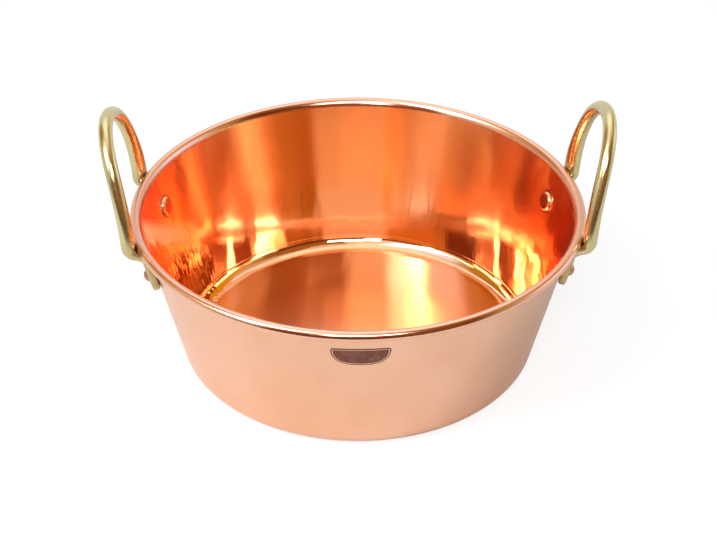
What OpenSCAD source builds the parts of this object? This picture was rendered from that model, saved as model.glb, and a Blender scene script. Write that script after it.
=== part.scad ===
// Copper preserving pan: a conical sheet-copper body with a rolled, wired rim and
// two upright brass loop handles, each riveted to the wall by its two feet.
// The origin is the centre of the resting face, +Z is up, and the handles stand at +X and -X.

/* [Pan] */
// Diameter over the rolled rim
rim_d = 360; // [300:5:400]
// Height from the resting face to the top of the rim
pan_h = 132; // [115:1:160]
// Diameter at which the wall's outer face would meet the resting plane
base_d = 284; // [250:1:300]
// Thickness of the copper sheet
sheet_t = 1.5; // [1.2:0.1:2]
// Outer radius of the corner between floor and wall
corner_r = 14.5; // [8:0.5:20]
// Diameter of the rolled bead round the rim
bead_d = 8; // [7.5:0.1:10]
// Radius on which the wall's inner face flares before it rolls into the bead
flare_r = 10; // [6:0.5:14]
// Angle from upright at which the flare passes into the bead
flare_angle = 40; // [30:1:55]
// Angle through which the sheet's edge rolls on round the wire
curl_angle = 282; // [255:1:284]

/* [Handles] */
// Diameter of the round brass rod in the arch
rod_d = 10.9; // [9:0.1:13]
// Distance between the legs' centrelines beside the bead
loop_w = 110.5; // [95:0.5:125]
// Radius of the arch at the top of the loop
arch_r = 48.8; // [42:0.1:52]
// Radius on which each leg curves in towards the arch
side_r = 137; // [125:1:260]
// Angle by which the legs lean outwards where they leave the bead
lean_angle = 3; // [0:0.1:8]
// Radius on which the loop goes on leaning outwards, away from the pan
lean_r = 291; // [180:1:600]
// Gap between the bead and the leg that passes it
bead_gap = 0.2; // [0.1:0.1:1.5]
// Thickness of a leg beside the bead
leg_t = 10.9; // [7:0.1:12]
// Width of a leg beside the bead
leg_w = 16.5; // [12:0.5:19]
// Length of leg over which it turns from that broader section to the round rod
taper_l = 54; // [30:1:90]
// Width of the flattened foot
foot_w = 17; // [14:0.5:20]
// Thickness of the flattened foot
foot_t = 6.5; // [5:0.1:7.5]
// Height of the foot's lower tip above the resting plane
foot_z = 87; // [82:1:92]

/* [Rivets] */
// Diameter of the rivet's shank
shank_d = 7; // [5:0.5:8]
// Height of the rivet's centre above the resting plane, on the wall's outer face
rivet_z = 100.5; // [98:0.5:104]
// Diameter of the broad head inside the pan
inner_head_d = 16.5; // [12:0.5:18]
// Height of the head inside the pan
inner_head_h = 2.6; // [1.5:0.1:4]
// Radius of the rounded edge of the head inside the pan
inner_head_edge = 1.9; // [0.5:0.1:2.4]
// Diameter of the peened head outside
outer_head_d = 10; // [8:0.5:13]
// Height of the peened head outside
outer_head_h = 3; // [2:0.1:4]

/* [Hidden] */

// Roundness of turned surfaces, of the bead's section and of small round parts
turned_fn = 180;
section_fn = 72;
small_fn = 48;
// Length of a cutter that passes right through what it cuts
reach = 40;

function around(c, r, a) = c + r * [cos(a), sin(a)];

// The bead's centre in the section plane, where x is the radius and y the height
bead_r = bead_d / 2;
bead_c = [rim_d / 2 - bead_r, pan_h - bead_r];
bore_r = bead_r - sheet_t;

// The flare meets the bead at this angle round both their centres
flare_join = 180 - flare_angle;
flare_c = around(bead_c, bead_r - flare_r, flare_join);
// The wall's outer face is tangent to the flare's, which sets its tilt
flare_out_r = flare_r - sheet_t;
wall_tilt = atan2(flare_c.x - base_d / 2, flare_c.y)
    - asin(flare_out_r / norm([flare_c.x - base_d / 2, flare_c.y]));
function wall_r(z) = base_d / 2 + z * tan(wall_tilt);

// Centre of the corner's arc in the section plane
corner_c = [wall_r(corner_r) - corner_r / cos(wall_tilt), corner_r];

// The wire inside the bead lies a little loose in its bore
wire_slack = 0.1;
wire_d = 2 * bore_r - wire_slack;

// The rivets sit on the line of the legs, seen from above
rod_r = rod_d / 2;
leg_half = leg_t / 2;
leg_radius = rim_d / 2 + bead_gap + leg_half;
foot_azimuth = asin(loop_w / 2 / leg_radius);

// Loop outline in its own bent strip: two side arcs, tangent to one top arc
side_c = loop_w / 2 - side_r;
arch_c = sqrt(pow(side_r - arch_r, 2) - pow(side_c, 2));
side_angle = atan2(arch_c, -side_c);

// A foot: it wraps under the bead, then turns down along the wall to its rounded tip
wrap_angle = 60;
foot_turn_r = 7;
foot_half = foot_t / 2;
// Squareness of a section: 2 is an ellipse, more is a rounded bar
round_power = 2;
leg_power = 2.2;
bar_power = 4.5;
wall_dir = [sin(wall_tilt), cos(wall_tilt)];
wall_out = [cos(wall_tilt), -sin(wall_tilt)];
foot_tip = [wall_r(foot_z), foot_z] + foot_half * wall_out;
wrap_start = around(bead_c, bead_r + bead_gap + foot_half, -wrap_angle);
wrap_start_dir = [-sin(wrap_angle), -cos(wrap_angle)];
// Where the line that leaves the wrap meets the foot's line along the wall
function cross2(a, b) = a.x * b.y - a.y * b.x;
wrap_run = cross2(foot_tip - wrap_start, wall_dir) / cross2(wrap_start_dir, wall_dir);
foot_corner = wrap_start + wrap_run * wrap_start_dir;
foot_turn = wrap_angle - wall_tilt;
turn_cut = foot_turn_r * tan(foot_turn / 2);
turn_start = foot_corner - turn_cut * wall_dir;
turn_c = turn_start + foot_turn_r * wall_out;

// Counts of stations along one half of a handle, and of points round each section
tip_steps = 5;
turn_steps = 3;
wrap_steps = 5;
side_steps = 8;
arch_steps = 11;
section_points = 16;
// Where the rounded tip's first section lies, as an angle from its very end
tip_angle = 14;
// Thickness of the tip's very end, as a share of the foot's
tip_share = 0.55;

function ease(t) = (1 - cos(180 * t)) / 2;
function mix(a, b, t) = a + (b - a) * t;

// A station is a point, half its thickness, half its width and its squareness
function foot_station(p, thick, wide, power) =
    [[p.x * cos(foot_azimuth), p.x * sin(foot_azimuth), p.y], thick, wide, power];

function tip_station(a) = foot_station(
    foot_tip + foot_w / 2 * (1 - cos(a)) * wall_dir,
    foot_half * mix(tip_share, 1, sin(a)), foot_w / 2 * sin(a), bar_power);

function turn_station(a) = foot_station(around(turn_c, foot_turn_r, 180 - wall_tilt - a),
    foot_half, foot_w / 2, bar_power);

// From the thin foot to the thicker leg while it wraps the bead
function wrap_station(t) = let (half = mix(foot_half, leg_half, ease(t)))
    foot_station(around(bead_c, bead_r + bead_gap + half, mix(-wrap_angle, -lean_angle, t)),
        half, mix(foot_w, leg_w, ease(t)) / 2, mix(bar_power, leg_power, ease(t)));

// Where the leg leaves the bead
leg_start = wrap_station(1)[0];

// From the flat strip, y across and s along it, to the loop that leans outwards
function loop_station(y, s) = let (lean = lean_angle + s / lean_r * 180 / PI,
        t = ease(min(s / taper_l, 1)))
    [[leg_start.x + lean_r * (cos(lean_angle) - cos(lean)), y,
        leg_start.z + lean_r * (sin(lean) - sin(lean_angle))],
        mix(leg_half, rod_r, t), mix(leg_w / 2, rod_r, t), mix(leg_power, round_power, t)];

half_stations = concat(
    [for (i = [0 : tip_steps]) tip_station(mix(tip_angle, 90, i / tip_steps))],
    [for (i = [0 : turn_steps]) turn_station(foot_turn * i / turn_steps)],
    [for (i = [0 : wrap_steps]) wrap_station(i / wrap_steps)],
    [for (i = [1 : side_steps]) let (a = side_angle * i / side_steps)
        loop_station(side_c + side_r * cos(a), side_r * sin(a))],
    [for (i = [1 : arch_steps]) let (a = mix(side_angle, 90, i / arch_steps))
        loop_station(arch_r * cos(a), arch_c + arch_r * sin(a))]);

function mirrored(s) = [[s[0].x, -s[0].y, s[0].z], s[1], s[2], s[3]];
half_count = len(half_stations);
stations = concat(half_stations,
    [for (i = [half_count - 2 : -1 : 0]) mirrored(half_stations[i])]);

function unit(v) = v / norm(v);
function signed_power(x, e) = sign(x) * pow(abs(x), e);

// The points of one section, round a frame of the path's direction and the pan's radius
function section(i) = let (
        last = len(stations) - 1,
        p = stations[i][0],
        along = unit(stations[min(i + 1, last)][0] - stations[max(i - 1, 0)][0]),
        outward = unit([p.x, p.y, 0]),
        across = unit(cross(along, outward)),
        out = cross(across, along),
        e = 2 / stations[i][3])
    [for (k = [0 : section_points - 1]) let (a = 360 * k / section_points)
        p + stations[i][1] * signed_power(cos(a), e) * out
          + stations[i][2] * signed_power(sin(a), e) * across];

// One unbroken skin over a row of sections with equal numbers of points
module skin(rings) {
    n = len(rings[0]);
    m = len(rings);
    sides = [for (i = [0 : m - 2]) for (k = [0 : n - 1]) let (
            a = i * n + k, b = i * n + (k + 1) % n) each [[a, b, b + n], [a, b + n, a + n]]];
    caps = [for (k = [1 : n - 2]) each [[0, k + 1, k],
        [(m - 1) * n, (m - 1) * n + k, (m - 1) * n + k + 1]]];
    polyhedron([for (r = rings) each r], concat(sides, caps));
}

// Counts of steps along the arcs of the sheet's section
corner_steps = 16;
flare_steps = 5;
curl_steps = 44;

// One face of the sheet in section, from the axis to the edge that ends the curl;
// depth is measured from the outer face, so the inner face has the sheet's thickness
function sheet_face(depth) = concat(
    [[0, depth]],
    [for (i = [0 : corner_steps])
        around(corner_c, corner_r - depth, mix(-90, -wall_tilt, i / corner_steps))],
    [for (i = [0 : flare_steps - 1])
        around(flare_c, flare_out_r + depth, mix(180 - wall_tilt, flare_join, i / flare_steps))],
    [for (i = [0 : curl_steps])
        around(bead_c, bore_r + depth, flare_join - curl_angle * i / curl_steps)]);

function reversed(list) = [for (i = [len(list) - 1 : -1 : 0]) list[i]];

// Places a part that points outwards along +X on the wall at a foot, mirrored for the left
module at_foot(side, end) {
    azimuth = (side > 0 ? 0 : 180) + end * side * foot_azimuth;
    rotate([0, 0, azimuth]) translate([wall_r(rivet_z), 0, rivet_z])
        rotate([0, wall_tilt, 0]) children();
}

module rivet_hole() {
    translate([-reach / 2, 0, 0]) rotate([0, 90, 0]) cylinder(d = shank_d, h = reach, $fn = small_fn);
}

module pan_body() {
    color("#e8925a") difference() {
        rotate_extrude($fn = turned_fn) polygon(concat(sheet_face(0), reversed(sheet_face(sheet_t))));
        for (side = [-1, 1], end = [-1, 1]) at_foot(side, end) {
            rivet_hole();
            // The wall is flat under the broad head
            translate([-sheet_t, 0, 0]) rotate([0, -90, 0])
                cylinder(d = inner_head_d, h = inner_head_h, $fn = small_fn);
        }
    }
}

module rim_wire() {
    color("#8d9095") rotate_extrude($fn = turned_fn)
        translate(bead_c) circle(d = wire_d, $fn = section_fn);
}

// A flat seat for the peened head, cut into the foot's outer face
seat_cut = 0.2;
seat_margin = 1;

module handle(side) {
    color("#c7b375") difference() {
        rotate([0, 0, side > 0 ? 0 : 180]) skin([for (i = [0 : len(stations) - 1]) section(i)]);
        for (end = [-1, 1]) at_foot(side, end) {
            rivet_hole();
            translate([foot_t - seat_cut, 0, 0]) rotate([0, 90, 0])
                cylinder(d = outer_head_d + seat_margin, h = foot_t, $fn = small_fn);
        }
    }
}

// Half a domed head with a flat seat, from the seat's plane up to its crown
module dome_section(d, h) {
    dome_r = (d * d / 4 + h * h) / (2 * h);
    intersection() {
        translate([0, h - dome_r]) circle(dome_r, $fn = 4 * section_fn);
        square([d / 2, h]);
    }
}

// Half a flat head with a rounded edge
module flat_section(d, h, edge) {
    square([d / 2 - edge, h]);
    square([d / 2, h - edge]);
    intersection() {
        translate([d / 2 - edge, h - edge]) circle(edge, $fn = section_fn);
        square([d / 2, h]);
    }
}

module rivet(side, end) {
    shank_l = sheet_t + foot_t - seat_cut;
    color("#d98d63") at_foot(side, end) {
        translate([-sheet_t, 0, 0]) rotate([0, 90, 0]) cylinder(d = shank_d, h = shank_l, $fn = small_fn);
        translate([foot_t - seat_cut, 0, 0]) rotate([0, 90, 0])
            rotate_extrude($fn = small_fn) dome_section(outer_head_d, outer_head_h);
        translate([-sheet_t, 0, 0]) rotate([0, -90, 0])
            rotate_extrude($fn = small_fn) flat_section(inner_head_d, inner_head_h, inner_head_edge);
    }
}

module left_handle() { handle(-1); }
module right_handle() { handle(1); }
// Front is the side towards -Y
module left_front_rivet() { rivet(-1, -1); }
module left_rear_rivet() { rivet(-1, 1); }
module right_front_rivet() { rivet(1, -1); }
module right_rear_rivet() { rivet(1, 1); }

pan_body();
rim_wire();
left_handle();
right_handle();
left_front_rivet();
left_rear_rivet();
right_front_rivet();
right_rear_rivet();
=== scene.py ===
"""A copper preserving pan with two upright brass handles, in a plain white studio."""

import math

import bpy
from mathutils import Matrix, Quaternion, Vector


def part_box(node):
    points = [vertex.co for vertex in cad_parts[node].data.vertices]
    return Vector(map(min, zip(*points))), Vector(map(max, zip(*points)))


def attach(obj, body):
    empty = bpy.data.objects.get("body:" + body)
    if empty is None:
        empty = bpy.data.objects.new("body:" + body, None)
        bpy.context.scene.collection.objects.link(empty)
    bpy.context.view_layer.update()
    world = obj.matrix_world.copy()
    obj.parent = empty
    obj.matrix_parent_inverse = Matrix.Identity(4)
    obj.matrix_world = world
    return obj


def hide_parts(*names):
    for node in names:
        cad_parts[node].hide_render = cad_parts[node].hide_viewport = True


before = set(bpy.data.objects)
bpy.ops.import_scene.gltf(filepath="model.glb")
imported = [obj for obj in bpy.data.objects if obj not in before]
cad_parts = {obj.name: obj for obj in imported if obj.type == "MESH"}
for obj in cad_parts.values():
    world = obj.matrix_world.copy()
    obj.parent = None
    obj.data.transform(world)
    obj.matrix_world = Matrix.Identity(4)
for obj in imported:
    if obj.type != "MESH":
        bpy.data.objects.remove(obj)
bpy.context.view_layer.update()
root = "root"

# Sizes of the CAD part, in metres: what the frame doesn't say is repeated from its source
pan_lo, pan_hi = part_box("pan_body")
rim_r = 0.180
pan_h = pan_hi.z
base_r = 0.142
sheet_t = 0.0015
corner_r = 0.0145
bead_r = 0.004
flare_r = 0.010
flare_angle = math.radians(40)
curl_angle = math.radians(282)
rod_r = 0.00545
loop_w = 0.1105
arch_r = 0.0488
side_r = 0.137
lean_angle = math.radians(3)
lean_r = 0.291
bead_gap = 0.0002
leg_t = 0.0109
leg_w = 0.0165
taper_l = 0.054
foot_w = 0.017
foot_t = 0.0065
foot_z = 0.087
shank_r = 0.0035
rivet_z = 0.1005
inner_head_r = 0.00825
inner_head_h = 0.0026
inner_head_edge = 0.0019
outer_head_r = 0.005
outer_head_h = 0.003
seat_cut = 0.0002


# Sections of the pan, as (radius, height) in metres

def polar(centre, radius, angle):
    return Vector((centre[0] + radius * math.cos(angle), centre[1] + radius * math.sin(angle)))


bead_c = Vector((rim_r - bead_r, pan_h - bead_r))
bore_r = bead_r - sheet_t
flare_join = math.pi - flare_angle
flare_c = polar(bead_c, bead_r - flare_r, flare_join)
run_to_flare = flare_c - Vector((base_r, 0))
wall_tilt = math.atan2(run_to_flare.x, run_to_flare.y) - math.asin((flare_r - sheet_t) / run_to_flare.length)
wall_dir = Vector((math.sin(wall_tilt), math.cos(wall_tilt)))
wall_out = Vector((math.cos(wall_tilt), -math.sin(wall_tilt)))


def wall_r(z):
    return base_r + z * math.tan(wall_tilt)


corner_c = Vector((wall_r(corner_r) - corner_r / math.cos(wall_tilt), corner_r))
leg_half = leg_t / 2
foot_azimuth = math.asin(loop_w / 2 / (rim_r + bead_gap + leg_half))


# Camera

def make_camera():
    """The photograph's view: a long lens, 33.6 degrees above the table and a little to the pan's left."""
    focal_px = 1722.5
    frame_w = 716
    sensor = 36.0
    distance = 1.4005
    elevation = math.radians(33.6)
    azimuth = math.radians(-1.4)
    target = Vector((0, 0, 0.0677))
    data = bpy.data.cameras.new("camera")
    data.sensor_width = sensor
    data.lens = focal_px / frame_w * sensor
    cam = bpy.data.objects.new("camera", data)
    bpy.context.scene.collection.objects.link(cam)
    back = Vector((math.sin(azimuth) * math.cos(elevation), -math.cos(azimuth) * math.cos(elevation),
                   math.sin(elevation)))
    cam.location = target + distance * back
    cam.rotation_mode = "QUATERNION"
    cam.rotation_quaternion = (-back).to_track_quat("-Z", "Y")
    bpy.context.scene.camera = cam


# Node helpers

def new_material(name):
    mat = bpy.data.materials.new(name)
    mat.use_nodes = True
    mat.node_tree.nodes.clear()
    return mat


def rgb(r, g, b):
    return (r, g, b, 1.0)


class Nodes:
    """Short calls for building a node tree."""

    def __init__(self, tree):
        self.tree = tree

    def add(self, kind, inputs=None, **settings):
        node = self.tree.nodes.new(kind)
        for key, value in settings.items():
            setattr(node, key, value)
        for key, value in (inputs or {}).items():
            self.put(node.inputs[key], value)
        return node

    def put(self, socket, value):
        if isinstance(value, bpy.types.NodeSocket):
            self.tree.links.new(value, socket)
        else:
            socket.default_value = value

    def math(self, operation, a, b=0.0, clamp=False):
        return self.add("ShaderNodeMath", {0: a, 1: b}, operation=operation, use_clamp=clamp).outputs[0]

    def plus(self, a, b):
        return self.math("ADD", a, b)

    def times(self, a, b):
        return self.math("MULTIPLY", a, b)

    def ramp(self, value, low, high, to_low=0.0, to_high=1.0):
        """A smooth step from to_low at low to to_high at high; low may be the greater."""
        node = self.add("ShaderNodeMapRange", {0: value, 1: low, 2: high, 3: to_low, 4: to_high},
                        interpolation_type="SMOOTHSTEP")
        return node.outputs[0]

    def mix(self, factor, a, b):
        node = self.add("ShaderNodeMix", data_type="RGBA")
        for key, value in ((0, factor), (6, a), (7, b)):
            self.put(node.inputs[key], value)
        return node.outputs[2]

    def noise(self, vector, scale, detail=3.0, roughness=0.5):
        return self.add("ShaderNodeTexNoise", {"Vector": vector, "Scale": scale, "Detail": detail,
                                               "Roughness": roughness}).outputs[0]

    def scaled(self, vector, x, y, z):
        return self.add("ShaderNodeVectorMath", {0: vector, 1: (x, y, z)}, operation="MULTIPLY").outputs[0]

    def bump(self, height, distance, strength=1.0, normal=None):
        inputs = {"Height": height, "Distance": distance, "Strength": strength}
        if normal:
            inputs["Normal"] = normal
        return self.add("ShaderNodeBump", inputs).outputs[0]


# Materials

def metal(name, color, roughness, build, smear=0.0, smear_turn=0.0):
    """A metal whose build returns sockets for colour, roughness, normal and more; smear is its anisotropy."""
    mat = new_material(name)
    n = Nodes(mat.node_tree)
    shader = n.add("ShaderNodeBsdfPrincipled", {"Metallic": 1.0, "Base Color": rgb(*color), "Roughness": roughness,
                                                "Anisotropic": smear, "Anisotropic Rotation": smear_turn})
    for key, socket in build(n).items():
        n.tree.links.new(socket, shader.inputs[key])
    out = n.add("ShaderNodeOutputMaterial")
    n.tree.links.new(shader.outputs[0], out.inputs[0])
    return mat


def place(n):
    """Object coordinates, and the same turned round the pan's axis: (direction x, direction y, profile)."""
    co = n.add("ShaderNodeTexCoord").outputs["Object"]
    xyz = n.add("ShaderNodeSeparateXYZ", {0: co}).outputs
    flat = n.add("ShaderNodeCombineXYZ", {0: xyz[0], 1: xyz[1]}).outputs[0]
    radius = n.add("ShaderNodeVectorMath", {0: flat}, operation="LENGTH").outputs["Value"]
    turn = n.add("ShaderNodeVectorMath", {0: flat}, operation="NORMALIZE").outputs[0]
    way = n.add("ShaderNodeSeparateXYZ", {0: turn}).outputs
    profile = n.plus(radius, xyz[2])
    return co, xyz, radius, way, profile


def rings(n, way, profile, along, across):
    """Coordinates in which a noise makes streaks round the pan, across their profile."""
    return n.add("ShaderNodeCombineXYZ", {0: n.times(way[0], along), 1: n.times(way[1], along),
                                          2: n.times(profile, across)}).outputs[0]


def polished_copper(n):
    """What the wall and the floor share inside: coordinates, clouds, lathe streaks, specks and dents."""
    co, xyz, radius, way, profile = place(n)
    streak = n.noise(rings(n, way, profile, 1.2, 700.0), 1.0, 4.0, 0.6)
    cloud = n.noise(co, 11.0, 3.0)
    speck = n.noise(co, 420.0, 3.0, 0.7)
    wear = n.plus(n.times(n.math("SUBTRACT", streak, 0.5), 0.05), n.times(n.ramp(speck, 0.62, 0.75), 0.05))
    lathe_rings = n.noise(rings(n, way, profile, 2.5, 90.0), 1.0, 2.0)
    height = n.plus(n.times(n.noise(co, 26.0, 2.0), 0.5), n.times(lathe_rings, 0.3))
    return co, xyz, radius, way, cloud, streak, wear, height


def copper_wall(n):
    """The wall inside. Polished round and round, it smears what it mirrors up and down."""
    co, xyz, radius, way, cloud, streak, wear, height = polished_copper(n)
    polish = n.ramp(xyz[2], 0.045, 0.075, 0.06, 0.15)
    # Scoured beside the left handle, most in a slanting, ragged strip with brush marks under it; that strip is
    # rougher, and its colour carries a painted highlight, pale yellow
    brushed = n.noise(n.scaled(co, 150.0, 150.0, 9.0), 1.0, 2.0)
    slant = n.plus(xyz[2], n.times(xyz[1], 0.68))
    scoured = n.times(n.ramp(way[0], -0.93, -0.985), n.ramp(slant, 0.085, 0.10))
    scoured = n.times(scoured, n.ramp(way[1], -0.22, -0.05))
    scoured_highlight_band = n.times(n.ramp(way[0], -0.86, -0.95), n.ramp(slant, 0.124, 0.106))
    scoured_highlight_band = n.times(scoured_highlight_band, n.ramp(n.plus(slant, n.times(brushed, -0.03)), 0.076, 0.084))
    scoured_highlight_band = n.times(scoured_highlight_band, n.ramp(way[1], -0.22, -0.05))
    rough = n.math("MAXIMUM", n.plus(n.plus(polish, wear), n.times(scoured, 0.09)), 0.02)
    rough = n.plus(rough, n.times(scoured_highlight_band, 0.30))
    low = n.times(n.ramp(xyz[2], 0.055, 0.018), n.ramp(way[0], -0.2, 0.5, 1.0, 0.55))
    swell = n.noise(n.scaled(co, 42.0, 42.0, 14.0), 1.0, 1.0)
    height = n.plus(height, n.times(n.times(swell, low), 12.0))
    fluted = n.times(n.ramp(slant, 0.100, 0.088), n.ramp(way[0], -0.80, -0.93))
    height = n.plus(height, n.times(n.times(brushed, fluted), 8.0))
    # Beaten a little out of round where the handles are riveted on
    by_feet = n.times(n.ramp(n.math("ABSOLUTE", way[0]), 0.80, 0.97), n.ramp(xyz[2], 0.02, 0.05))
    beaten = n.noise(n.scaled(co, 20.0, 32.0, 32.0), 1.0, 1.0)
    height = n.plus(height, n.times(n.times(beaten, by_feet), 18.0))
    normal = n.bump(streak, 0.000004, 1.0, n.bump(height, 0.00006))
    color = n.mix(cloud, rgb(0.965, 0.475, 0.225), rgb(0.975, 0.50, 0.25))
    color = n.mix(n.ramp(xyz[2], 0.065, 0.040), color, rgb(0.975, 0.54, 0.32))
    # Painted highlight: the slanting strip beside the left handle is painted pale yellow
    color = n.mix(n.times(scoured_highlight_band, 0.8), color, rgb(0.98, 0.80, 0.42))
    # Painted shade: a dark ring on the wall in the crevice round each rivet's head
    head = (wall_r(rivet_z) * math.cos(foot_azimuth), wall_r(rivet_z) * math.sin(foot_azimuth), rivet_z)
    mirrored = n.add("ShaderNodeVectorMath", {0: co}, operation="ABSOLUTE").outputs[0]
    gap = n.add("ShaderNodeVectorMath", {0: mirrored, 1: head}, operation="DISTANCE").outputs["Value"]
    color = n.mix(n.ramp(gap, inner_head_r + 0.0028, inner_head_r + 0.0005, 0.0, 0.85), color, rgb(0.30, 0.08, 0.03))
    around = n.add("ShaderNodeTangent", direction_type="RADIAL", axis="Z").outputs[0]
    return {"Base Color": color, "Roughness": rough, "Normal": normal, "Tangent": around}


def copper_floor(n):
    """The floor inside: satin, and glossier where it is seen at a flat angle."""
    co, xyz, radius, way, cloud, streak, wear, height = polished_copper(n)
    facing = n.add("ShaderNodeLayerWeight", {"Blend": 0.5}).outputs["Facing"]
    satin = n.ramp(facing, 0.52, 0.72, 0.17, 0.11)
    rough = n.plus(n.ramp(radius, corner_c.x - 0.005, corner_c.x, satin, 0.06), wear)
    color = n.mix(cloud, rgb(0.965, 0.485, 0.275), rgb(0.975, 0.515, 0.305))
    normal = n.bump(streak, 0.000004, 1.0, n.bump(height, 0.00002))
    return {"Base Color": color, "Roughness": n.math("MAXIMUM", rough, 0.02), "Normal": normal}


def copper_outside(n):
    co, xyz, radius, way, profile = place(n)
    cloud = n.noise(co, 14.0, 4.0, 0.6)
    streak = n.noise(rings(n, way, profile, 2.0, 900.0), 1.0, 4.0, 0.6)
    smear = n.noise(rings(n, way, profile, 6.0, 30.0), 1.0, 3.0)
    rough = n.plus(n.times(cloud, 0.10), n.times(smear, 0.08))
    rough = n.plus(rough, n.plus(n.times(streak, 0.05), 0.19))
    color = n.mix(n.ramp(cloud, 0.3, 0.7), rgb(0.735, 0.425, 0.275), rgb(0.785, 0.48, 0.325))
    height = n.plus(n.times(smear, 0.7), n.times(cloud, 0.3))
    normal = n.bump(height, 0.00008)
    normal = n.bump(streak, 0.000008, 1.0, normal)
    return {"Base Color": color, "Roughness": rough, "Normal": normal}


def copper_rim(n):
    co, xyz, radius, way, profile = place(n)
    streak = n.noise(rings(n, way, profile, 1.5, 900.0), 1.0, 4.0, 0.6)
    cloud = n.noise(co, 30.0, 3.0)
    # Worn duller at the sides, where it is held
    worn = n.ramp(n.math("ABSOLUTE", way[0]), 0.45, 0.85, 0.07, 0.22)
    rough = n.plus(n.times(streak, 0.08), n.plus(n.times(cloud, 0.08), worn))
    color = n.mix(cloud, rgb(0.76, 0.40, 0.265), rgb(0.80, 0.455, 0.325))
    normal = n.bump(n.noise(rings(n, way, profile, 9.0, 40.0), 1.0, 2.0), 0.00006)
    normal = n.bump(streak, 0.000006, 1.0, normal)
    return {"Base Color": color, "Roughness": rough, "Normal": normal}


def brass(n):
    co, xyz, radius, way, profile = place(n)
    cloud = n.noise(co, 40.0, 3.0)
    grain = n.noise(n.scaled(co, 500.0, 500.0, 60.0), 1.0, 3.0, 0.6)
    speck = n.noise(co, 900.0, 2.0)
    near_bead = n.ramp(xyz[2], pan_h + 0.012, pan_h - 0.012)
    dull = n.math("MULTIPLY", near_bead, n.ramp(cloud, 0.35, 0.65), clamp=True)
    rough = n.plus(n.plus(0.17, n.times(cloud, 0.12)), n.plus(n.times(grain, 0.06), n.times(dull, 0.10)))
    rough = n.plus(rough, n.ramp(xyz[2], pan_h - 0.012, pan_h - 0.025, 0.0, 0.2))
    color = n.mix(cloud, rgb(0.545, 0.475, 0.235), rgb(0.62, 0.55, 0.30))
    color = n.mix(n.times(dull, 0.5), color, rgb(0.44, 0.35, 0.16))
    color = n.mix(n.ramp(speck, 0.68, 0.78, 0.0, 0.5), color, rgb(0.42, 0.31, 0.12))
    normal = n.bump(n.noise(co, 130.0, 2.0), 0.00008)
    normal = n.bump(grain, 0.000012, 1.0, normal)
    return {"Base Color": color, "Roughness": rough, "Normal": normal}


def rivet_copper(n):
    co = n.add("ShaderNodeTexCoord").outputs["Object"]
    facets = n.add("ShaderNodeTexVoronoi", {"Vector": co, "Scale": 330.0}, feature="SMOOTH_F1").outputs[0]
    cloud = n.noise(co, 160.0, 3.0)
    rough = n.plus(0.09, n.times(cloud, 0.16))
    color = n.mix(cloud, rgb(0.86, 0.46, 0.27), rgb(0.93, 0.55, 0.36))
    normal = n.bump(facets, 0.0003)
    return {"Base Color": color, "Roughness": rough, "Normal": normal}


# The rivets' inner faces and outer domes, painted dark: a painted reflection of the dark bowl on the faces inside,
# painted shade on the domes outside
def painted_dark_copper(n):
    co = n.add("ShaderNodeTexCoord").outputs["Object"]
    cloud = n.noise(co, 220.0, 3.0)
    rough = n.plus(0.12, n.times(cloud, 0.2))
    color = n.mix(cloud, rgb(0.34, 0.14, 0.08), rgb(0.62, 0.29, 0.18))
    return {"Base Color": color, "Roughness": rough, "Normal": n.bump(cloud, 0.0002)}


def drawn_steel(n):
    co, xyz, radius, way, profile = place(n)
    streak = n.noise(rings(n, way, profile, 2.0, 1500.0), 1.0, 3.0)
    rough = n.plus(0.28, n.times(streak, 0.2))
    color = n.mix(streak, rgb(0.46, 0.47, 0.49), rgb(0.60, 0.61, 0.63))
    return {"Base Color": color, "Roughness": rough, "Normal": n.bump(streak, 0.00001)}


def etched(n):
    """The etched field of the mark: dull brown copper, hatched."""
    co, xyz, radius, way, profile = place(n)
    hatch = n.math("SINE", n.times(xyz[2], 7500.0))
    cloud = n.noise(co, 200.0, 3.0)
    color = n.mix(n.ramp(hatch, -0.2, 0.8), rgb(0.19, 0.075, 0.055), rgb(0.33, 0.15, 0.115))
    color = n.mix(n.ramp(cloud, 0.35, 0.65, 0.0, 0.6), color, rgb(0.15, 0.06, 0.045))
    rough = n.plus(0.42, n.times(cloud, 0.2))
    return {"Base Color": color, "Roughness": rough, "Normal": n.bump(hatch, 0.00003)}


def make_materials():
    return {
        "wall": metal("copper_wall", (0.97, 0.49, 0.24), 0.08, copper_wall, 0.92, 0.25),
        "floor": metal("copper_floor", (0.97, 0.49, 0.24), 0.18, copper_floor),
        "outside": metal("copper_outside", (0.92, 0.55, 0.37), 0.3, copper_outside),
        "rim": metal("copper_rim", (0.92, 0.55, 0.38), 0.15, copper_rim),
        "wire": metal("steel_wire", (0.55, 0.56, 0.58), 0.4, drawn_steel),
        "brass": metal("cast_brass", (0.70, 0.58, 0.27), 0.18, brass),
        "rivet": metal("copper_rivet", (0.90, 0.50, 0.32), 0.18, rivet_copper),
        "rivet_face": metal("painted_dark_copper", (0.50, 0.22, 0.13), 0.2, painted_dark_copper),
        "etched": metal("etched_copper", (0.40, 0.16, 0.10), 0.5, etched),
    }


# The pan's body, turned from one closed outline

def arc(centre, radius, start, end, steps, flip=1):
    """Points of an arc with their normals; flip -1 turns the normals towards the centre."""
    out = []
    for i in range(steps + 1):
        a = start + (end - start) * i / steps
        out.append((polar(centre, radius, a), flip * Vector((math.cos(a), math.sin(a)))))
    return out


def line(a, b, steps, normal):
    return [(a.lerp(b, i / steps), normal) for i in range(1, steps)]


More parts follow.
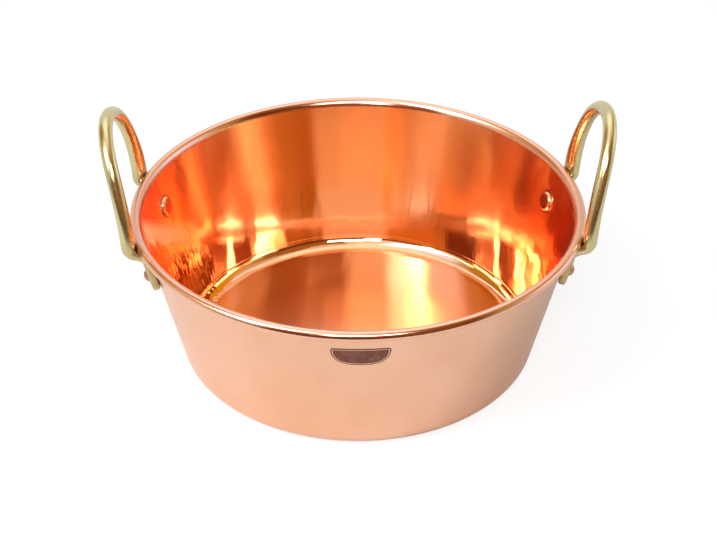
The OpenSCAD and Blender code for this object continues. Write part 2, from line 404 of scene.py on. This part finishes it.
def pan_outline():
    """(point, normal, zone) round the sheet, from the middle of the floor up, over and under."""
    up, down = Vector((0, 1)), Vector((0, -1))
    inner = corner_r - sheet_t
    out_r = flare_r - sheet_t
    end = flare_join - curl_angle
    corner_in = arc(corner_c, inner, -math.pi / 2, -wall_tilt, 18, -1)
    flare_in = arc(flare_c, flare_r, math.pi - wall_tilt, flare_join, 6)
    curl = arc(bead_c, bead_r, flare_join, end, 44)[1:]
    under = arc(bead_c, bore_r, end, flare_join, 22, -1)
    flare_out = arc(flare_c, out_r, flare_join, math.pi - wall_tilt, 4, -1)[1:]
    corner_out = arc(corner_c, corner_r, -wall_tilt, -math.pi / 2, 14)
    floor_in = [(Vector((0, sheet_t)), up)] + line(Vector((0, sheet_t)), corner_in[0][0], 6, up)
    wall_in = line(corner_in[-1][0], flare_in[0][0], 10, -wall_out)
    wall_outer = line(flare_out[-1][0], corner_out[0][0], 8, wall_out)
    floor_out = line(corner_out[-1][0], Vector((0, 0)), 3, down) + [(Vector((0, 0)), down)]
    zones = [(floor_in, "floor"), (corner_in, "wall"), (wall_in, "wall"), (flare_in, "rim"), (curl, "rim"),
             (under, "rim"), (flare_out, "outside"), (wall_outer, "outside"), (corner_out, "outside"),
             (floor_out, "outside")]
    return [(point, normal, zone) for run, zone in zones for point, normal in run]


def add_object(name, verts, faces, normals=None, materials=(), marks=None):
    mesh = bpy.data.meshes.new(name)
    mesh.from_pydata(verts, [], faces)
    for mat in materials:
        mesh.materials.append(mat)
    if marks:
        mesh.polygons.foreach_set("material_index", marks)
    mesh.polygons.foreach_set("use_smooth", [True] * len(faces))
    mesh.update()
    if normals:
        mesh.normals_split_custom_set_from_vertices(normals)
    obj = bpy.data.objects.new(name, mesh)
    bpy.context.scene.collection.objects.link(obj)
    return obj


def turned(name, points, segments, materials, frame_of=None):
    """Turns a closed outline whose ends lie on the axis. Each face takes the zone of its first point."""
    zones = sorted({p[2] for p in points})
    verts, normals, faces, marks, rows = [], [], [], [], []
    for p, normal, _ in points:
        count = 1 if p.x < 1e-9 else segments
        rows.append(range(len(verts), len(verts) + count))
        for k in range(count):
            a = 2 * math.pi * k / segments
            verts.append(Vector((p.x * math.cos(a), p.x * math.sin(a), p.y)))
            normals.append(Vector((normal.x * math.cos(a), normal.x * math.sin(a), normal.y)))
    for i in range(len(points) - 1):
        a, b = rows[i], rows[i + 1]
        for k in range(segments):
            j = (k + 1) % segments
            if len(a) == 1:
                faces.append((a[0], b[k], b[j]))
            elif len(b) == 1:
                faces.append((a[j], a[k], b[0]))
            else:
                faces.append((a[k], b[k], b[j], a[j]))
            marks.append(zones.index(points[i][2]))
    if frame_of is not None:
        spin = frame_of.to_3x3()
        verts = [frame_of @ v for v in verts]
        normals = [spin @ v for v in normals]
    return add_object(name, verts, faces, normals, [materials[z] for z in zones], marks)


def make_pan(materials):
    pan = turned("pan_shell", pan_outline(), 360, materials)
    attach(pan, root)
    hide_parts("pan_body")


# The handles, one sweep each from foot to foot

def ease(t):
    return (1 - math.cos(math.pi * min(max(t, 0), 1))) / 2


def blend(a, b, t):
    return a + (b - a) * t


def handle_half():
    """Stations of half a handle, each a point, half thickness, half width and squareness."""
    wrap_angle = math.radians(60)
    foot_turn_r = 0.007
    half = foot_t / 2
    leg_power, bar_power = 2.2, 4.5
    tip = Vector((wall_r(foot_z), foot_z)) + half * wall_out
    start = polar(bead_c, bead_r + bead_gap + half, -wrap_angle)
    start_dir = Vector((-math.sin(wrap_angle), -math.cos(wrap_angle)))
    cross = lambda a, b: a.x * b.y - a.y * b.x
    run = cross(tip - start, wall_dir) / cross(start_dir, wall_dir)
    turn = wrap_angle - wall_tilt
    turn_start = start + run * start_dir - foot_turn_r * math.tan(turn / 2) * wall_dir
    turn_c = turn_start + foot_turn_r * wall_out

    def in_foot(p, thick, wide, power):
        return (Vector((p.x * math.cos(foot_azimuth), p.x * math.sin(foot_azimuth), p.y)), thick, wide, power)

    rows = []
    for i in range(13):
        a = math.radians(blend(6, 90, i / 12))
        rows.append(in_foot(tip + foot_w / 2 * (1 - math.cos(a)) * wall_dir,
                            half * blend(0.55, 1, math.sin(a)), foot_w / 2 * math.sin(a), bar_power))
    rows += [in_foot(polar(turn_c, foot_turn_r, math.pi - wall_tilt - turn * i / 8), half, foot_w / 2, bar_power)
             for i in range(9)]
    for i in range(19):
        t = i / 18
        thick = blend(half, leg_half, ease(t))
        rows.append(in_foot(polar(bead_c, bead_r + bead_gap + thick, blend(-wrap_angle, -lean_angle, t)),
                            thick, blend(foot_w, leg_w, ease(t)) / 2, blend(bar_power, leg_power, ease(t))))
    leg = rows[-1][0].copy()
    side_c = loop_w / 2 - side_r
    arch_c = math.sqrt((side_r - arch_r) ** 2 - side_c ** 2)
    side_angle = math.atan2(arch_c, -side_c)
    strip = [(side_c + side_r * math.cos(a), side_r * math.sin(a))
             for a in (side_angle * i / 30 for i in range(1, 31))]
    strip += [(arch_r * math.cos(a), arch_c + arch_r * math.sin(a))
              for a in (blend(side_angle, math.pi / 2, i / 40) for i in range(1, 41))]
    for y, s in strip:
        lean = lean_angle + s / lean_r
        t = ease(s / taper_l)
        rows.append((Vector((leg.x + lean_r * (math.cos(lean_angle) - math.cos(lean)), y,
                             leg.z + lean_r * (math.sin(lean) - math.sin(lean_angle)))),
                     blend(leg_half, rod_r, t), blend(leg_w / 2, rod_r, t), blend(leg_power, 2.0, t)))
    return rows


def power_of(x, e):
    return math.copysign(abs(x) ** e, x)


def make_handle(name, node, side, mat):
    half = handle_half()
    rows = half + [(Vector((p.x, -p.y, p.z)), t, w, s) for p, t, w, s in reversed(half[:-1])]
    count = 40
    verts, faces = [], []
    for i, (p, thick, wide, square) in enumerate(rows):
        along = (rows[min(i + 1, len(rows) - 1)][0] - rows[max(i - 1, 0)][0]).normalized()
        outward = Vector((p.x, p.y, 0)).normalized()
        across = along.cross(outward).normalized()
        out = across.cross(along)
        for k in range(count):
            a = 2 * math.pi * k / count
            v = (p + thick * power_of(math.cos(a), 2 / square) * out
                 + wide * power_of(math.sin(a), 2 / square) * across)
            verts.append(v if side > 0 else Vector((-v.x, -v.y, v.z)))
    for i in range(len(rows) - 1):
        for k in range(count):
            j = (k + 1) % count
            a, b = i * count, (i + 1) * count
            faces.append((a + k, a + j, b + j, b + k))
    faces.append(tuple(reversed(range(count))))
    faces.append(tuple(range(len(verts) - count, len(verts))))
    obj = add_object(name, verts, faces, materials=[mat])
    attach(obj, root)
    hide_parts(node)


def make_handles(materials):
    make_handle("left_loop", "left_handle", -1, materials["brass"])
    make_handle("right_loop", "right_handle", 1, materials["brass"])


# The rivets, one turned piece each: broad head inside, shank, peened head outside

def rivet_outline():
    """Outline along the rivet's axis, which points outwards; zero is the wall's outer face."""
    seat = foot_t - seat_cut
    dome_r = (outer_head_r ** 2 + outer_head_h ** 2) / (2 * outer_head_h)
    centre = (0, seat + outer_head_h - dome_r)
    edge = math.asin(outer_head_r / dome_r)
    inner_top = -sheet_t - inner_head_h
    ring = (inner_head_r - inner_head_edge, inner_top + inner_head_edge)
    low, side = Vector((0, -1)), Vector((1, 0))
    face = [(Vector((0, inner_top)), low)] + line(Vector((0, inner_top)), Vector((ring[0], inner_top)), 3, low)
    points = arc(ring, inner_head_edge, -math.pi / 2, 0, 10)
    points += [(Vector((inner_head_r, -sheet_t)), side), (Vector((inner_head_r, -sheet_t)), -low),
               (Vector((shank_r, -sheet_t)), -low), (Vector((shank_r, -sheet_t)), side),
               (Vector((shank_r, seat)), side), (Vector((shank_r, seat)), low),
               (Vector((outer_head_r, seat)), low)]
    points += arc(centre, dome_r, math.pi / 2 - edge, math.pi / 2, 14)
    points[-1] = (Vector((0, seat + outer_head_h)), Vector((0, 1)))
    # The faces of both heads take the copper painted dark as reflection and shade
    rows = [(p, normal, "rivet_face" if p.y > seat else "rivet") for p, normal in reversed(points)]
    return rows[:-1] + [(p, normal, "rivet_face") for p, normal in [points[0]] + face[::-1]]


def make_rivets(materials):
    for side, side_name in ((-1, "left"), (1, "right")):
        for end, end_name in ((-1, "front"), (1, "rear")):
            azimuth = (0 if side > 0 else math.pi) + end * side * foot_azimuth
            axis = (Matrix.Rotation(azimuth, 4, "Z") @ Matrix.Translation((wall_r(rivet_z), 0, rivet_z))
                    @ Matrix.Rotation(wall_tilt + math.pi / 2, 4, "Y"))
            node = f"{side_name}_{end_name}_rivet"
            obj = turned(node + "_heads", rivet_outline(), 64, materials, axis)
            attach(obj, root)
            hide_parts(node)


# A small plain mark, etched in the outer wall under the rim in front

def make_mark(materials):
    """A half oval with a raised border and a hatched field, bent to the wall."""
    half_w, drop, top_z = 0.0222, 0.0180, 0.1119
    lift, border, round_r = 0.00012, 0.0011, 0.0025
    # Where the mark's middle lies, seen from above, as an angle from the front
    turn = math.radians(-0.7)
    across, down = 56, 20

    def point(u, v, out):
        z = top_z - v * math.cos(wall_tilt)
        r = wall_r(z) + out * math.cos(wall_tilt)
        a = -math.pi / 2 + turn + u / r
        return Vector((r * math.cos(a), r * math.sin(a), z - out * math.sin(wall_tilt)))

    def oval(shrink):
        """Rows of points from the straight upper edge, round at its ends, down to the curve."""
        w, d, r = half_w - shrink, drop - 2 * shrink, round_r - shrink
        columns = []
        for i in range(across + 1):
            a = math.pi / 2 * (2 * i / across - 1)
            u = w * math.sin(a)
            top = r - math.sqrt(max(r * r - max(abs(u) - (w - r), 0) ** 2, 0))
            columns.append((u, top, max(d * (1 - abs(math.sin(a)) ** 2.6) ** (1 / 2.6), top)))
        return [[(u, shrink + blend(top, low, j / down)) for u, top, low in columns] for j in range(down + 1)]

    def sheet(name, shrink, out, mat):
        verts, faces = [], []
        for row in oval(shrink):
            verts += [point(u, v, out) for u, v in row]
        n = across + 1
        for j in range(down):
            for i in range(across):
                faces.append((j * n + i, (j + 1) * n + i, (j + 1) * n + i + 1, j * n + i + 1))
        obj = add_object(name, verts, faces, materials=[mat])
        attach(obj, root)

    sheet("mark_border", 0.0, lift, materials["etched"])
    sheet("mark_line", border, lift * 1.6, materials["outside"])
    sheet("mark_field", border * 1.6, lift * 2.2, materials["etched"])


def dress_wire(materials):
    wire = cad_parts["rim_wire"]
    wire.data.materials.clear()
    wire.data.materials.append(materials["wire"])
    wire.data.polygons.foreach_set("use_smooth", [True] * len(wire.data.polygons))


# Studio

def seen_ray(n):
    path = n.add("ShaderNodeLightPath").outputs
    return n.math("MAXIMUM", path["Is Camera Ray"], n.math("MAXIMUM", path["Is Glossy Ray"],
                                                          path["Is Transmission Ray"]))


def make_floor():
    """White, with the pan's shadow near it, and evenly white far away, so that no horizon shows."""
    mat = new_material("studio_floor")
    n = Nodes(mat.node_tree)
    co, xyz, radius, way, profile = place(n)
    camera = n.add("ShaderNodeLightPath").outputs["Is Camera Ray"]
    near = n.ramp(radius, 1.1, 0.4)
    glow = n.add("ShaderNodeMix", {0: camera, 2: 0.0, 3: 0.79}).outputs[0]
    # Painted shade: the metal mirrors the unlit end of the table in front of the pan, painted near black and seen only
    # in reflections
    unlit = n.ramp(xyz[1], -0.36, -0.44)
    table = n.mix(unlit, rgb(0.85, 0.85, 0.85), rgb(0.06, 0.04, 0.02))
    shade = n.mix(camera, table, rgb(0.27, 0.27, 0.27))
    glow_near = n.add("ShaderNodeEmission", {"Strength": glow}).outputs[0]
    paint_near = n.add("ShaderNodeBsdfDiffuse", {"Color": shade}).outputs[0]
    shown = n.add("ShaderNodeAddShader", {0: glow_near, 1: paint_near}).outputs[0]
    white = n.add("ShaderNodeEmission", {"Strength": 1.0}).outputs[0]
    # Reflections see the painted dark end of the table instead of the white far floor
    near = n.math("MAXIMUM", near, n.times(unlit, n.math("SUBTRACT", 1.0, camera)))
    shown = n.add("ShaderNodeMixShader", {0: near, 1: white, 2: shown}).outputs[0]
    paint = n.add("ShaderNodeBsdfDiffuse", {"Color": rgb(0.85, 0.85, 0.85)}).outputs[0]
    mixed = n.add("ShaderNodeMixShader", {0: seen_ray(n), 1: paint, 2: shown}).outputs[0]
    below = n.add("ShaderNodeNewGeometry").outputs["Backfacing"]
    clear = n.add("ShaderNodeBsdfTransparent").outputs[0]
    mixed = n.add("ShaderNodeMixShader", {0: below, 1: mixed, 2: clear}).outputs[0]
    out = n.add("ShaderNodeOutputMaterial")
    n.tree.links.new(mixed, out.inputs[0])
    size = 6.0
    floor = add_object("studio_floor", [(-size, -size, 0), (size, -size, 0), (size, size, 0), (-size, size, 0)],
                       [(0, 1, 2, 3)], materials=[mat])


def make_world():
    """White for rays that are seen directly; a studio with a dimmer ceiling and drapes in reflections."""
    world = bpy.data.worlds.new("studio")
    world.use_nodes = True
    bpy.context.scene.world = world
    n = Nodes(world.node_tree)
    n.tree.nodes.clear()
    path = n.add("ShaderNodeLightPath").outputs
    white = n.add("ShaderNodeBackground", {"Color": rgb(1.0, 1.0, 1.0), "Strength": 1.0})
    dim = n.add("ShaderNodeBackground", {"Color": rgb(1.0, 1.0, 1.0), "Strength": 0.44})
    room = n.add("ShaderNodeBackground", {"Color": room_light(n)})
    mixed = n.add("ShaderNodeMixShader", {0: path["Is Camera Ray"], 1: dim.outputs[0], 2: white.outputs[0]})
    mixed = n.add("ShaderNodeMixShader", {0: path["Is Transmission Ray"], 1: mixed.outputs[0], 2: white.outputs[0]})
    mixed = n.add("ShaderNodeMixShader", {0: path["Is Glossy Ray"], 1: mixed.outputs[0], 2: room.outputs[0]})
    out = n.add("ShaderNodeOutputWorld")
    n.tree.links.new(mixed.outputs[0], out.inputs[0])


# The room as the metal mirrors it: drapes and cards on white walls, each as azimuth from, to,
# elevation from, to, softness and colour. Degrees; azimuth 0 is beyond the pan, 90 to its right
# and 180 the camera's side, and a later entry covers the ones before it.
ROOM = [
    # Ceiling, and the bright wall beyond the pan under it
    (-200, 200, 64, 110, 6, (0.95, 0.82, 0.66)),
    (-40, 40, 40, 70, 4, (1.7, 1.75, 1.9)),
    # Drapes left of that wall, with a darker edge, and right of it
    (-100, -48, 8, 58, 8, (0.56, 0.32, 0.05)),
    (-66, -46, 8, 52, 4, (0.50, 0.25, 0.03)),
    (28, 42, 8, 38, 4, (0.95, 0.78, 0.50)),
    # White card on the right, and a warm wall over it
    (60, 88, 5, 24, 4, (1.50, 1.75, 2.40)),
    (34, 112, 28, 50, 4, (0.76, 0.38, 0.0)),
    # Dim corner on the right, low and high
    (98, 132, 5, 44, 5, (0.66, 0.45, 0.10)),
    (121, 170, -5, 24, 5, (0.46, 0.16, 0.02)),
    (112, 164, 18, 46, 4, (0.16, 0.04, 0.01)),
    (128, 133, 4, 22, 2, (0.25, 0.04, 0.0)),
    (70, 104, 40, 66, 8, (0.70, 0.52, 0.34)),
    (98, 172, 38, 80, 7, (0.38, 0.17, 0.04)),
    # Wall under the key light, and the glow beside it and at its foot
    (-128, -98, 2, 20, 4, (0.80, 0.78, 0.70)),
    (-152, -126, 50, 72, 6, (2.8, 3.1, 4.2)),
    (-116, -86, 48, 66, 8, (1.1, 1.35, 2.1)),
    (-107, -91, 31, 37, 3, (5.0, 4.6, 3.4)),
    # Unlit room behind the camera
    (158, 226, -5, 38, 5, (0.34, 0.10, 0.03)),
    (-202, -134, -5, 38, 5, (0.34, 0.10, 0.03)),
]


def room_light(n):
    """Colour of the room in the direction of the ray."""
    direction = n.add("ShaderNodeTexCoord").outputs["Generated"]
    xyz = n.add("ShaderNodeSeparateXYZ", {0: direction}).outputs
    degrees = 180 / math.pi
    azimuth = n.times(n.math("ARCTAN2", xyz[0], xyz[1]), degrees)
    elevation = n.times(n.math("ARCSINE", xyz[2]), degrees)
    color = rgb(1.0, 1.0, 1.0)
    for az0, az1, el0, el1, soft, value in ROOM:
        inside = n.times(n.times(n.ramp(azimuth, az0 - soft, az0 + soft), n.ramp(azimuth, az1 + soft, az1 - soft)),
                         n.times(n.ramp(elevation, el0 - soft, el0 + soft), n.ramp(elevation, el1 + soft, el1 - soft)))
        color = n.mix(inside, color, rgb(*value))
    return color


def lamp(name, azimuth, elevation, wide, high, level, roll=0.0, distance=2.2):
    """A softbox that faces the pan, wide and high in degrees; level is how bright it looks, where white is 1."""
    az, el = math.radians(azimuth), math.radians(elevation)
    target = Vector((0, 0, 0.1))
    away = Vector((math.sin(az) * math.cos(el), math.cos(az) * math.cos(el), math.sin(el)))
    size = [2 * distance * math.tan(math.radians(a / 2)) for a in (wide, high)]
    data = bpy.data.lights.new(name, "AREA")
    data.shape = "RECTANGLE"
    data.size, data.size_y = size
    data.energy = level * math.pi * size[0] * size[1]
    obj = bpy.data.objects.new(name, data)
    obj.location = target + distance * away
    obj.rotation_mode = "QUATERNION"
    obj.rotation_quaternion = (-away).to_track_quat("-Z", "Y") @ Quaternion((0, 0, 1), math.radians(roll))
    bpy.context.scene.collection.objects.link(obj)


def make_lights():
    lamp("key_light", -123.5, 44.5, 19, 29, 12.5, roll=-26)
    lamp("camera_light", 177, 44, 29, 12, 9.3)
    lamp("strip_light", -168, 33, 8, 9, 12.0)
    lamp("overhead_light", 0, 90, 40, 40, 0.5)


make_camera()
materials = make_materials()
make_pan(materials)
make_handles(materials)
make_rivets(materials)
make_mark(materials)
dress_wire(materials)
make_floor()
make_world()
make_lights()

bpy.context.scene.view_settings.view_transform = "Standard"
# The bowl mirrors itself many times over at its sides
bpy.context.scene.cycles.max_bounces = 16
bpy.context.scene.cycles.glossy_bounces = 16
